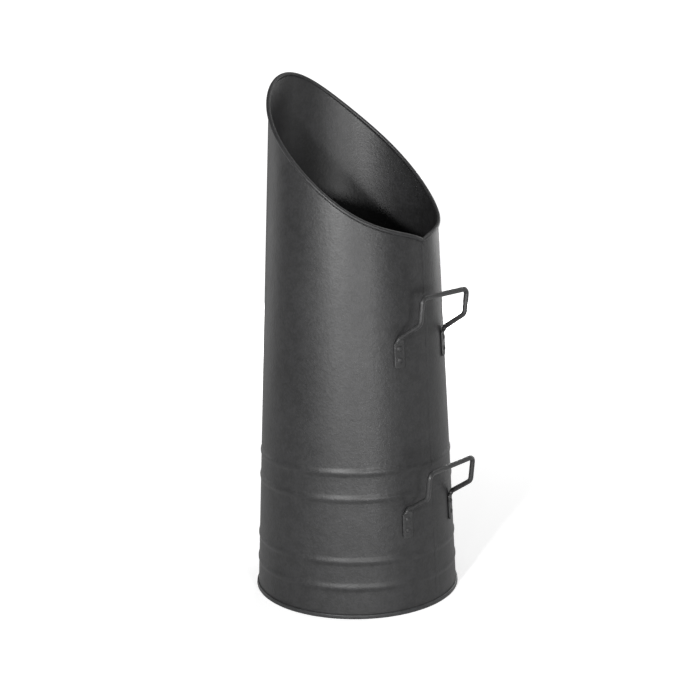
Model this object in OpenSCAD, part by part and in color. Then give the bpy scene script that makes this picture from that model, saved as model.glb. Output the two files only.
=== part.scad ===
// Coal scuttle: a tall sheet-steel hod with a slanted mouth and two fixed bracket handles.
// Millimetres, +Z up. The origin is on the floor, at the centre of the round base.
// The seam and the handles are towards +X, and the tall pouring lip is towards -X.

/* [Body] */
// Outside diameter of the body sheet where its line meets the floor
body_foot_d = 210; // [190:1:240]
// Lean of the wall towards the axis, in degrees from the vertical
wall_slope = 2.77; // [1.5:0.01:3.5]
// Thickness of the body sheet
sheet_t = 0.7; // [0.5:0.05:0.9]
// Height of the lip's top above the floor
body_h = 530; // [480:1:580]

/* [Mouth] */
// Height of the bead's middle at the seam, the lowest place of the mouth
mouth_seam_z = 367.5; // [350:0.5:390]
// How far the mouth line hangs below a straight slanting cut, half way round to the lip
mouth_hollow = 10.5; // [0:0.1:20]
// How much further it hangs, an eighth of a turn from the seam and from the lip
mouth_shoulder = 3.1; // [0:0.1:6]
// Depth of the V where the two ends of the mouth line meet at the seam
notch_depth = 8.5; // [2:0.1:12]
// Angle round from the seam in which most of the V runs out, in degrees
notch_reach = 12.5; // [6:0.5:20]
// Diameter of the wire inside the mouth bead
wire_d = 2.6; // [2:0.1:3.5]
// Room between the wire and the sheet curled round it
wire_gap = 0.1; // [0.05:0.01:0.15]
// How far the bead's middle stands out from the outer face of the sheet
bead_out = 0.2; // [0.1:0.05:0.5]

/* [Ribs] */
// Height of the middle of the lower pair of ribs
rib_pair_low_z = 44.8; // [35:0.1:52]
// Height of the middle of the upper pair of ribs
rib_pair_high_z = 134.1; // [130:0.1:180]
// Distance between the two ribs of a pair
rib_spacing = 26.4; // [20:0.1:30]
// Width of a rib
rib_w = 10.5; // [7:0.1:12]
// How far a rib stands out from the wall
rib_h = 0.9; // [0.4:0.1:1.2]

/* [Seam] */
// Width of the folded seam down the back
seam_w = 5; // [4:0.1:7]
// How far the seam stands out from the wall
seam_out = 0.4; // [0.2:0.05:0.8]
// How far the seam stands in from the wall
seam_in = 1.2; // [0.6:0.1:1.6]
// Distance of the seam's lower end above the bottom panel
seam_end_gap = 2; // [1:0.5:5]

/* [Base] */
// Thickness of the bottom sheet
base_t = 0.8; // [0.6:0.05:1]
// Height of the rolled edge that holds the bottom on
base_edge_h = 4.6; // [4:0.1:7]
// Height of the bottom panel's upper face above the floor
panel_z = 8; // [7:0.1:14]
// Room between the bottom sheet and the body sheet inside the rolled edge
base_gap = 0.1; // [0.05:0.01:0.2]
// Radius of the rolled edge's outer corners
base_edge_r = 0.7; // [0.3:0.1:0.9]

/* [Handles] */
// Height at which the upper handle leaves the wall
upper_handle_z = 276.6; // [240:0.1:300]
// Height at which the lower handle leaves the wall
lower_handle_z = 106.5; // [98:0.1:108]
// Diameter of the handle rod
rod_d = 5; // [4:0.1:6]
// Width of a handle between the middles of its two arms
grip_w = 74; // [65:1:90]
// Distance of the grip's middle from the wall at the foot's height
grip_reach = 22.3; // [20:0.1:32]
// How much further out the grip stands than the elbows below it
grip_lean = 2.8; // [0:0.1:5]
// Height that the arm gains before it bends upward
arm_rise = 16; // [14:0.1:20]
// Height of the grip above the place where the arm leaves the wall
grip_rise = 41.5; // [38:0.1:55]
// Radius of the two bends beside the grip, to the middle of the rod
grip_bend_r = 6; // [5:0.5:7]
// Radius of the bend where the arm turns up to the grip, to the middle of the rod
elbow_bend_r = 7; // [5:0.5:7.5]
// Radius of the bend where the arm leaves the foot, to the middle of the rod
root_bend_r = 4; // [4:0.5:7]

/* [Handle feet] */
// Width of a flattened foot
foot_w = 11; // [9:0.5:14]
// Thickness of a flattened foot
foot_t = 1.8; // [1.4:0.1:2.4]
// Distance of the foot's lower end below the place where the arm leaves the wall
foot_drop = 29; // [28:0.5:34]
// Length in which the round rod becomes the flat foot
foot_taper = 3.5; // [3:0.5:4]
// Radius of the foot's lower corners
foot_corner_r = 2.5; // [1:0.5:4]
// Room between a foot and the wall
foot_gap = 0.15; // [0.1:0.01:0.3]

/* [Rivets] */
// Diameter of a rivet's shank
rivet_d = 3; // [2.5:0.1:3.4]
// Room round the shank in its holes
rivet_gap = 0.1; // [0.05:0.01:0.2]
// Diameter of the dome head outside
rivet_head_d = 5.4; // [4.6:0.1:6]
// Height of the dome head
rivet_head_h = 1.3; // [0.8:0.1:1.8]
// Diameter of the formed tail inside
rivet_tail_d = 5; // [4.4:0.1:5.6]
// Height of the formed tail
rivet_tail_h = 1; // [0.6:0.1:1.6]
// Distance of the lower rivet from the foot's lower end
rivet_edge = 8; // [6:0.5:9]
// Distance between the two rivets of a foot
rivet_pitch = 11; // [8:0.5:12]

/* [Hidden] */

$fn = 64;
body_fn = 180;
steel_color = [0.23, 0.23, 0.24];
rivet_color = [0.30, 0.30, 0.31];
wire_color = [0.45, 0.45, 0.46];
degrees_per_radian = 180 / PI;

// Which way each foot lies from the seam plane
LEFT = -1;
RIGHT = 1;

// ---- The wall ----

wall_tan = tan(wall_slope);

// Radius of the wall's outer face at a height, ribs left out
function wall_r(z) = body_foot_d / 2 - z * wall_tan;

rib_heights = [
    for (middle = [rib_pair_low_z, rib_pair_high_z])
        for (side = [-1, 1])
            middle + side * rib_spacing / 2
];

// A rib's outline has this many straight steps across its width
rib_steps = 8;

// Points up the wall, pushed in or out by an offset, with the ribs
function wall_side(offset, z_start, z_end) = concat(
    [[wall_r(z_start) + offset, z_start]],
    [
        for (rib_z = rib_heights)
            for (i = [0:rib_steps])
                let (
                    across = 2 * i / rib_steps - 1,
                    z = rib_z + across * rib_w / 2,
                    bulge = rib_h * (1 + cos(180 * across)) / 2
                )
                if (z > z_start) [wall_r(z) + offset + bulge, z]
    ],
    [[wall_r(z_end) + offset, z_end]]
);

function reversed(points) = [for (i = [len(points) - 1:-1:0]) points[i]];

// Places its children on the wall: X points out of it and Z runs up it
module on_wall(angle, z) {
    rotate([0, 0, angle])
        translate([wall_r(z), 0, z])
            rotate([0, -wall_slope, 0])
                children();
}

// ---- The mouth line ----

bead_r = wire_d / 2 + wire_gap + sheet_t;
lip_z = body_h - bead_r;
notch_top_z = mouth_seam_z + notch_depth;

// Stations along half of the mouth line, closer together near the seam
mouth_steps = 36;
station_crowding = 1.25;

function station_angle(i) = 180 * pow(i / mouth_steps, station_crowding);

// A smooth wave from 0 to 1 and back, as many times in a full turn as it has crests
function wave(crests, angle) = (1 - cos(crests * angle)) / 2;

// How fast that wave rises, per radian of the angle
function wave_rate(crests, angle) = crests * sin(crests * angle) / 2;

function notch_left(angle) = notch_depth * exp(-angle / notch_reach);

// Height of the bead's middle, by the angle round from the seam
function mouth_z(angle) =
    notch_top_z
    + (lip_z - notch_top_z) * wave(1, angle)
    - mouth_hollow * wave(2, angle)
    - mouth_shoulder * wave(4, angle)
    - notch_left(angle);

// Steepness of the mouth line along the wall, height gained per length round
function mouth_slope(angle) =
    let (
        rate = (lip_z - notch_top_z) * wave_rate(1, angle)
            - mouth_hollow * wave_rate(2, angle)
            - mouth_shoulder * wave_rate(4, angle)
            + notch_left(angle) / notch_reach * degrees_per_radian
    )
    rate / wall_r(mouth_z(angle));

// One station is [angle, height of the bead's middle, stretch of an upright cut through it]
function mouth_station(angle, side) =
    [side * angle, mouth_z(angle), sqrt(1 + pow(mouth_slope(angle), 2))];

mouth_stations = concat(
    [for (i = [0:mouth_steps]) mouth_station(station_angle(i), 1)],
    [for (i = [mouth_steps - 1:-1:1]) mouth_station(station_angle(i), -1)]
);

// A point beside the mouth line: out from the bead's middle, and up in the upright cut
function beside_mouth(station, out, up) =
    let (r = wall_r(station[1]) + bead_out + out)
    [r * cos(station[0]), r * sin(station[0]), station[1] + up * station[2]];

// A closed band round the mouth from one outline per station, all with as many points
module band(outlines) {
    rings = len(outlines);
    count = len(outlines[0]);
    points = [for (outline = outlines) each outline];
    faces = [
        for (i = [0:rings - 1])
            for (j = [0:count - 1])
                let (
                    here = i * count,
                    next = ((i + 1) % rings) * count,
                    k = (j + 1) % count
                )
                each [
                    [here + j, next + k, here + k],
                    [here + j, next + j, next + k]
                ]
    ];
    polyhedron(points = points, faces = faces);
}

// ---- Body sheet ----

hem_bottom_z = base_t + base_gap;
hem_top_z = base_edge_h - base_t - base_gap;

// The curl starts at the wall's top edge and ends just short of the wall outside
curl_start = -93;
curl_turn = -329;
curl_steps = 12;
// The wall's top edge ends inside the curl's sheet, this share of its thickness deep
curl_root_depth = 0.75;
curl_root = bead_r - curl_root_depth * sheet_t;

// A cut reaches this far past the sheet or the edge that it goes through
cut_room = 2;

// Room on each side of the wall in the ring that cuts it, at the mouth and at the floor
mouth_ring_room = sheet_t + seam_in + cut_room;
foot_ring_room = 12;

curl_outline = concat(
    [
        for (i = [0:curl_steps])
            bead_r * [cos(curl_start + curl_turn * i / curl_steps),
                      sin(curl_start + curl_turn * i / curl_steps)]
    ],
    [
        for (i = [curl_steps:-1:0])
            (bead_r - sheet_t) * [cos(curl_start + curl_turn * i / curl_steps),
                                  sin(curl_start + curl_turn * i / curl_steps)]
    ]
);

module mouth_curl() {
    band([
        for (station = mouth_stations)
            [for (p = curl_outline) beside_mouth(station, p[0], p[1])]
    ]);
}

// A ring round the whole wall, from under the floor to the wall's top edge. It is close to
// the wall at the mouth, so that its top keeps to the curl between two stations
module below_mouth() {
    band([
        for (station = mouth_stations)
            let (
                edge_z = station[1] - curl_root * station[2],
                edge_inner = wall_r(edge_z) - mouth_ring_room,
                edge_outer = wall_r(edge_z) + mouth_ring_room,
                foot_inner = wall_r(0) - foot_ring_room,
                foot_outer = wall_r(0) + foot_ring_room
            )
            [
                for (corner = [[edge_inner, edge_z], [edge_outer, edge_z],
                               [foot_outer, -foot_ring_room], [foot_inner, -foot_ring_room]])
                    [corner[0] * cos(station[0]), corner[0] * sin(station[0]), corner[1]]
            ]
    ]);
}

// The wall reaches above the lip before the mouth is cut
wall_blank_z = body_h + cut_room;

module wall_blank() {
    outer = wall_side(0, hem_top_z, wall_blank_z);
    inner = wall_side(-sheet_t, hem_bottom_z, wall_blank_z);
    hem = [
        [wall_r(hem_bottom_z) + sheet_t, hem_bottom_z],
        [wall_r(hem_top_z) + sheet_t, hem_top_z]
    ];
    rotate_extrude($fn = body_fn)
        polygon(concat(hem, outer, reversed(inner)));
}

module seam_blank() {
    seam_bottom_z = panel_z + seam_end_gap;
    seam_angle = 2 * asin(seam_w / 2 / wall_r(seam_bottom_z));
    outer = wall_side(seam_out, seam_bottom_z, wall_blank_z);
    inner = wall_side(-sheet_t - seam_in, seam_bottom_z, wall_blank_z);
    rotate([0, 0, -seam_angle / 2])
        rotate_extrude(angle = seam_angle, $fn = body_fn)
            polygon(concat(outer, reversed(inner)));
}

module body_sheet() {
    color(steel_color)
        difference() {
            union() {
                intersection() {
                    wall_blank();
                    below_mouth();
                }
                intersection() {
                    seam_blank();
                    below_mouth();
                }
                mouth_curl();
            }
            for (handle_z = [upper_handle_z, lower_handle_z])
                for (side = [LEFT, RIGHT])
                    foot_holes(side, handle_z);
        }
}

// ---- Mouth wire ----

wire_sides = 8;

module mouth_wire() {
    color(wire_color)
        band([
            for (station = mouth_stations)
                [
                    for (i = [0:wire_sides - 1])
                        let (turn = -360 * i / wire_sides)
                        beside_mouth(station, wire_d / 2 * cos(turn), wire_d / 2 * sin(turn))
                ]
        ]);
}

// ---- Base pan ----

corner_steps = 4;

// Points of a round corner about a centre
function corner_arc(centre, radius, from, to) = [
    for (i = [0:corner_steps])
        let (turn = from + (to - from) * i / corner_steps)
        centre + radius * [cos(turn), sin(turn)]
];

module base_pan() {
    inside_clear = -sheet_t - base_gap;
    outside_clear = sheet_t + base_gap;
    edge_out = outside_clear + base_t;
    under_panel_z = panel_z - base_t;
    fold_z = base_edge_h - base_t;
    outline = concat(
        [
            [0, panel_z],
            [0, under_panel_z],
            [wall_r(under_panel_z) + inside_clear - base_t, under_panel_z],
            [wall_r(0) + inside_clear - base_t, 0]
        ],
        corner_arc([wall_r(base_edge_r) + edge_out - base_edge_r, base_edge_r],
                   base_edge_r, -90, 0),
        corner_arc([wall_r(base_edge_h) + edge_out - base_edge_r, base_edge_h - base_edge_r],
                   base_edge_r, 0, 90),
        [
            [wall_r(base_edge_h) + base_gap, base_edge_h],
            [wall_r(fold_z) + base_gap, fold_z],
            [wall_r(fold_z) + outside_clear, fold_z],
            [wall_r(base_t) + outside_clear, base_t],
            [wall_r(base_t) + inside_clear, base_t],
            [wall_r(panel_z) + inside_clear, panel_z]
        ]
    );
    color(steel_color)
        rotate_extrude($fn = body_fn)
            polygon(outline);
}

// ---- Handles ----

// The rod's back stands a hair nearer the wall than the flat foot's back
rod_back_nearer = 0.05;
rod_out = foot_gap - rod_back_nearer + rod_d / 2;

// A bend swells this much on the rod's radius, and straight rod runs this far into it
bend_swell = 0.03;
bend_overlap = 0.4;

// The hammered slope of a foot ends this far in front of the full rod
slope_room = 0.3;

function unit(v) = v / norm(v);

// Radius at which the rod's middle leaves the wall, and the foot's angle from the seam
function rod_root_r(handle_z) = wall_r(handle_z) + rod_out * cos(wall_slope);
function foot_angle(handle_z) = asin(grip_w / 2 / rod_root_r(handle_z));

// The rod's corner points on one side: root, elbow and grip corner
function rod_root(side, handle_z) = [
    rod_root_r(handle_z) * cos(foot_angle(handle_z)),
    side * grip_w / 2,
    handle_z + rod_out * sin(wall_slope)
];
function rod_elbow(side, handle_z) = [
    wall_r(handle_z) + grip_reach - grip_lean, side * grip_w / 2, handle_z + arm_rise
];
function rod_corner(side, handle_z) = [
    wall_r(handle_z) + grip_reach, side * grip_w / 2, handle_z + grip_rise
];

// The direction up the wall where a foot lies
function up_wall(side, handle_z) =
    let (angle = side * foot_angle(handle_z))
    [-sin(wall_slope) * cos(angle), -sin(wall_slope) * sin(angle), cos(wall_slope)];

function turn_between(before, after) = acos(before * after);

// Length of straight rod that a bend takes off each side of its corner point
function bend_setback(before, after, radius) = radius * tan(turn_between(before, after) / 2);

module straight_rod(from, to) {
    run = to - from;
    translate(from - bend_overlap * unit(run))
        rotate([0, acos(run[2] / norm(run)), atan2(run[1], run[0])])
            cylinder(h = norm(run) + 2 * bend_overlap, d = rod_d);
}

// A bend at a corner point, from one direction of travel to another
module rod_bend(corner, before, after, radius) {
    start = corner - before * bend_setback(before, after, radius);
    inward = unit(after - (before * after) * before);
    centre = start + radius * inward;
    axis = cross(-inward, before);
    multmatrix([
        [-inward[0], before[0], axis[0], centre[0]],
        [-inward[1], before[1], axis[1], centre[1]],
        [-inward[2], before[2], axis[2], centre[2]],
        [0, 0, 0, 1]
    ])
        rotate_extrude(angle = turn_between(before, after))
            translate([radius, 0])
                circle(r = rod_d / 2 + bend_swell);
}

// Both holes of a foot, through the foot and the wall
module foot_holes(side, handle_z) {
    hole_reach = sheet_t + cut_room;
    for (rivet_z = rivet_places)
        on_wall(side * foot_angle(handle_z), handle_z)
            translate([-hole_reach, 0, rivet_z])
                rotate([0, 90, 0])
                    cylinder(h = hole_reach + foot_gap + foot_t + cut_room,
                             d = rivet_d + 2 * rivet_gap);
}

// Heights of a foot's rivets, measured along the wall from the rod's root
rivet_places = [
    -foot_drop + rivet_edge + rivet_pitch,
    -foot_drop + rivet_edge
];

// The flat plate of a foot, up to the place where its neck starts and a little into it
module foot_plate(neck_bottom) {
    plate_top = neck_bottom + bend_overlap;
    translate([foot_gap, 0, 0])
        rotate([90, 0, 90])
            linear_extrude(height = foot_t)
                union() {
                    translate([-foot_w / 2, -foot_drop + foot_corner_r])
                        square([foot_w, plate_top + foot_drop - foot_corner_r]);
                    translate([-foot_w / 2 + foot_corner_r, -foot_drop])
                        square([foot_w - 2 * foot_corner_r, foot_corner_r]);
                    for (end = [-1, 1])
                        translate([end * (foot_w / 2 - foot_corner_r),
                                   -foot_drop + foot_corner_r])
                            circle(r = foot_corner_r);
                }
}

// Where the rod is hammered flat: a cone as wide as the foot, cut by a wedge
module foot_neck(top) {
    plate_middle = rod_out - foot_gap - foot_t / 2;
    wide_r = norm([foot_w / 2, plate_middle]);
    full_rod_x = rod_out + rod_d / 2 + slope_room;
    intersection() {
        translate([rod_out, 0, top - foot_taper])
            union() {
                cylinder(h = foot_taper, r1 = wide_r, d2 = rod_d);
                cylinder(h = foot_taper + bend_overlap, d = rod_d);
            }
        translate([0, foot_w / 2, 0])
            rotate([90, 0, 0])
                linear_extrude(height = foot_w)
                    polygon([
                        [foot_gap, top - foot_taper],
                        [foot_gap + foot_t, top - foot_taper],
                        [full_rod_x, top],
                        [full_rod_x, top + 2 * bend_overlap],
                        [foot_gap, top + 2 * bend_overlap]
                    ]);
    }
}

// One side of a handle, from its foot to the middle of its grip
module handle_side(side, handle_z) {
    root = rod_root(side, handle_z);
    elbow = rod_elbow(side, handle_z);
    corner = rod_corner(side, handle_z);
    up = up_wall(side, handle_z);
    arm = unit(elbow - root);
    riser = unit(corner - elbow);
    across = [0, -side, 0];
    root_setback = bend_setback(up, arm, root_bend_r);
    elbow_setback = bend_setback(arm, riser, elbow_bend_r);
    neck_top = -root_setback;

    on_wall(side * foot_angle(handle_z), handle_z) {
        foot_plate(neck_top - foot_taper);
        foot_neck(neck_top);
    }
    rod_bend(root, up, arm, root_bend_r);
    straight_rod(root + arm * root_setback, elbow - arm * elbow_setback);
    rod_bend(elbow, arm, riser, elbow_bend_r);
    straight_rod(elbow + riser * elbow_setback, corner - riser * grip_bend_r);
    rod_bend(corner, riser, across, grip_bend_r);
}

module handle(handle_z) {
    left = rod_corner(LEFT, handle_z);
    right = rod_corner(RIGHT, handle_z);
    color(steel_color)
        difference() {
            union() {
                for (side = [LEFT, RIGHT])
                    handle_side(side, handle_z);
                straight_rod(left + [0, grip_bend_r, 0], right - [0, grip_bend_r, 0]);
            }
            for (side = [LEFT, RIGHT])
                foot_holes(side, handle_z);
        }
}

module upper_handle() {
    handle(upper_handle_z);
}

module lower_handle() {
    handle(lower_handle_z);
}

// ---- Rivets ----

// Room between a rivet's tail and the curved inside of the wall
tail_seat_gap = 0.05;
// The tail's bevel, across and along the rivet, as shares of the tail's height
tail_bevel = [0.3, 0.5];
dome_steps = 10;

// One rivet along X: the foot's outer face and the wall's inner face are its two seats
module rivet() {
    head_seat = foot_gap + foot_t;
    tail_seat = -sheet_t - tail_seat_gap;
    dome_r = (pow(rivet_head_d / 2, 2) + pow(rivet_head_h, 2)) / (2 * rivet_head_h);
    dome_half = asin(rivet_head_d / 2 / dome_r);
    dome = [
        for (i = [0:dome_steps])
            let (turn = dome_half * (1 - i / dome_steps))
            [dome_r * sin(turn), head_seat + rivet_head_h - dome_r * (1 - cos(turn))]
    ];
    rotate([0, 90, 0])
        rotate_extrude()
            polygon(concat(
                [
                    [0, tail_seat - rivet_tail_h],
                    [rivet_tail_d / 2 - tail_bevel[0] * rivet_tail_h, tail_seat - rivet_tail_h],
                    [rivet_tail_d / 2, tail_seat - (1 - tail_bevel[1]) * rivet_tail_h],
                    [rivet_tail_d / 2, tail_seat],
                    [rivet_d / 2, tail_seat],
                    [rivet_d / 2, head_seat]
                ],
                dome
            ));
}

// A rivet in its place: 0 is the top one of a foot and 1 the bottom one
module placed_rivet(side, handle_z, place) {
    color(rivet_color)
        on_wall(side * foot_angle(handle_z), handle_z)
            translate([0, 0, rivet_places[place]])
                rivet();
}

body_sheet();
mouth_wire();
base_pan();
upper_handle();
lower_handle();
for (level = ["upper", "lower"])
    for (side_name = ["left", "right"])
        for (place = [0, 1])
            let (rivet_name = str("rivet_", level, "_", side_name, "_", ["top", "bottom"][place]))
                placed_rivet(side_name == "left" ? LEFT : RIGHT,
                                 level == "upper" ? upper_handle_z : lower_handle_z, place);
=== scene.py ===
"""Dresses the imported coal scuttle: meshes, coated finishes, studio and camera.

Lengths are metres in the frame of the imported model: +Z up with the floor at Z = 0, the seam
and both handles towards +X, and the tall pouring lip towards -X.
"""

import logging
import math
from abc import ABC, abstractmethod
from collections.abc import Callable, Sequence
from dataclasses import dataclass, field
from enum import Enum

import bmesh
import bpy
from mathutils import Matrix, Vector


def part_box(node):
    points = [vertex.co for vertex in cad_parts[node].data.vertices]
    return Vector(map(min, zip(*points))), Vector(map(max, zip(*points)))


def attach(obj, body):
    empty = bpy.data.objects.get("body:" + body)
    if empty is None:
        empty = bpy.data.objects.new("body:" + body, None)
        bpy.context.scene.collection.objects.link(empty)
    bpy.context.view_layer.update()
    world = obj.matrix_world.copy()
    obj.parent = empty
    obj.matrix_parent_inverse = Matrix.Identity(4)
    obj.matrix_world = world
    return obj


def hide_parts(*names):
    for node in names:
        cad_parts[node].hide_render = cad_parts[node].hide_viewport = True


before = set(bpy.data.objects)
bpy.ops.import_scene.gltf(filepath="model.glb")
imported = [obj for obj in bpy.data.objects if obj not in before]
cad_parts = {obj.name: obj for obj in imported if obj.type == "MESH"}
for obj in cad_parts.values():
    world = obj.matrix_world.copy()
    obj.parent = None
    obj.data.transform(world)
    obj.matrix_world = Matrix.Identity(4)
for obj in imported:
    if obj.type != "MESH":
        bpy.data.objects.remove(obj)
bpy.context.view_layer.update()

LOG = logging.getLogger("coal_scuttle")
# Point value that lightens and smooths the coat: polish from handling, and a painted highlight on
# the ribs, the seam's fold and the mouth bead's top.
BODY = "root"
RUB_AND_SHEEN = "rub"
MM = 0.001
BEAD_RADIUS = 2.1 * MM
BEAD_OUT = 0.2 * MM

Point2 = tuple[float, float]
Row = tuple[float, float, float]
Ring = list[Vector]
Socket = bpy.types.NodeSocket


class Side(Enum):
    """The two feet of a handle, by their side of the seam."""

    LEFT = -1
    RIGHT = 1


class Level(Enum):
    """The two handles."""

    UPPER = "upper"
    LOWER = "lower"


class Place(Enum):
    """The two rivets of a foot."""

    TOP = "top"
    BOTTOM = "bottom"


def smooth_step(value: float) -> float:
    """Returns 0 below 0, 1 above 1, and a smooth rise between them."""
    share = min(1.0, max(0.0, value))
    return share * share * (3 - 2 * share)


def blend(start: float, end: float, share: float) -> float:
    """Returns the number that lies a share of the way from start to end."""
    return start + (end - start) * share


def spaced(start: float, end: float, steps: int) -> list[float]:
    """Returns steps + 1 evenly spaced numbers from start to end, both kept."""
    return [blend(start, end, i / steps) for i in range(steps + 1)]


def arc(centre: Point2, radius: float, start: float, end: float, steps: int) -> list[Point2]:
    """Returns the steps + 1 points of a flat arc between two directions in degrees."""
    turns = [math.radians(turn) for turn in spaced(start, end, steps)]
    return [(centre[0] + radius * math.cos(t), centre[1] + radius * math.sin(t)) for t in turns]


@dataclass
class MeshDraft:
    """The rings and faces of a piece while it is being made.

    Each point carries a value from 0 to 1 that lightens and smooths the coat: polish from hands
    and floors, and on the ribs, the seam's fold and the mouth bead's top a painted highlight.
    """

    points: list[Vector] = field(default_factory=list)
    faces: list[tuple[int, ...]] = field(default_factory=list)
    polish_and_sheen_values: list[float] = field(default_factory=list)

    def add_ring(self, ring: Sequence[Vector], rub: Sequence[float] | float = 0.0) -> list[int]:
        """Adds a ring of points.

        Args:
            ring: The points in order.
            rub: One rub value for each point, or one for all of them.

        Returns:
            The indices of the new points.
        """
        first = len(self.points)
        self.points.extend(ring)
        self.polish_and_sheen_values.extend([rub] * len(ring) if isinstance(rub, float) else rub)
        return list(range(first, first + len(ring)))

    def bridge(self, one: Sequence[int], other: Sequence[int], skip: range = range(0)) -> None:
        """Joins two rings of as many points by a closed band of four-sided faces.

        Args:
            one: The first ring's indices.
            other: The second ring's indices.
            skip: The places along the rings that get no face.
        """
        count = len(one)
        for i in range(count):
            if i not in skip:
                j = (i + 1) % count
                self.faces.append((one[i], one[j], other[j], other[i]))

    def close(self, ring: Sequence[int]) -> None:
        """Closes a ring with a fan of faces round a new point at its middle.

        Args:
            ring: The ring's indices.
        """
        middle = sum((self.points[i] for i in ring), Vector()) / len(ring)
        rub = sum(self.polish_and_sheen_values[i] for i in ring) / len(ring)
        self._fan(ring, self.add_ring([middle], rub)[0])

    def _fan(self, ring: Sequence[int], tip: int) -> None:
        """Closes a ring by three-sided faces that meet in one point."""
        for i, here in enumerate(ring):
            self.faces.append((here, ring[(i + 1) % len(ring)], tip))

    def lathe(self, outline: Sequence[Point2], steps: int, rub: Callable[[Point2], float]) -> None:
        """Turns an outline about the Z axis into a closed solid.

        Args:
            outline: Points (radius, height) whose first and last lie on the axis.
            steps: The number of steps round the axis.
            rub: Gives a point of the outline its rub value.
        """
        rings = [
            self.add_ring(
                [
                    Vector((radius * math.cos(turn), radius * math.sin(turn), height))
                    for turn in spaced(0, 2 * math.pi, steps)[:-1]
                ],
                rub((radius, height)),
            )
            for radius, height in outline[1:-1]
        ]
        for one, other in zip(rings, rings[1:]):
            self.bridge(one, other)
        for ring, tip in ((rings[0], outline[0]), (rings[-1], outline[-1])):
            self._fan(ring, self.add_ring([Vector((0, 0, tip[1]))], rub(tip))[0])

    def finish(self, name: str, crease: float = 40.0) -> bpy.types.Object:
        """Makes the draft an object with smooth faces and sharp creases.

        Args:
            name: The piece's name.
            crease: The angle in degrees above which an edge stays sharp.

        Returns:
            The object, linked to the scene.
        """
        mesh = bpy.data.meshes.new(name)
        mesh.from_pydata(self.points, [], self.faces)
        rub = mesh.attributes.new(RUB_AND_SHEEN, "FLOAT", "POINT")
        rub.data.foreach_set("value", self.polish_and_sheen_values)
        shape = bmesh.new()
        shape.from_mesh(mesh)
        bmesh.ops.recalc_face_normals(shape, faces=shape.faces)
        if shape.calc_volume(signed=True) < 0:
            bmesh.ops.reverse_faces(shape, faces=shape.faces)
        for face in shape.faces:
            face.smooth = True
        for edge in shape.edges:
            edge.smooth = edge.calc_face_angle(0.0) < math.radians(crease)
        shape.to_mesh(mesh)
        shape.free()
        piece = bpy.data.objects.new(name, mesh)
        bpy.context.scene.collection.objects.link(piece)
        return piece


class SubAssembly(ABC):
    """A part of the scuttle that builds its own mesh and dresses it."""

    @abstractmethod
    def build(self) -> bpy.types.Object:
        """Builds the mesh and returns its piece."""

    def dress(self, finish: bpy.types.Material, slot: str, *nodes: str) -> None:
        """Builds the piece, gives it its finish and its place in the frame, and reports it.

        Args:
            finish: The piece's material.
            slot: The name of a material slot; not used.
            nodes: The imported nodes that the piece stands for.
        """
        piece = self.build()
        piece.data.materials.append(finish)
        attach(piece, BODY)
        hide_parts(*nodes)
        LOG.info("%s: %d faces, for %s", piece.name, len(piece.data.polygons), ", ".join(nodes))


# ---- Finishes ----


class GroupMaker:
    """Builds one shader node group with named inputs and outputs."""

    def __init__(self, name: str) -> None:
        """Starts an empty group.

        Args:
            name: The group's name.
        """
        self.tree = bpy.data.node_groups.new(name, "ShaderNodeTree")
        self.inlet = self.tree.nodes.new("NodeGroupInput")
        self.outlet = self.tree.nodes.new("NodeGroupOutput")

    def add_input(self, name: str, value: float) -> Socket:
        """Adds a number input.

        Args:
            name: The input's name.
            value: Its value where nothing is linked to it.

        Returns:
            The socket that carries it inside the group.
        """
        item = self.tree.interface.new_socket(name, in_out="INPUT", socket_type="NodeSocketFloat")
        item.default_value = value
        return self.inlet.outputs[name]

    def add_output(self, name: str, source: Socket) -> None:
        """Adds a number output that is fed by a socket inside the group."""
        self.tree.interface.new_socket(name, in_out="OUTPUT", socket_type="NodeSocketFloat")
        self.tree.links.new(source, self.outlet.inputs[name])


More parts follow.
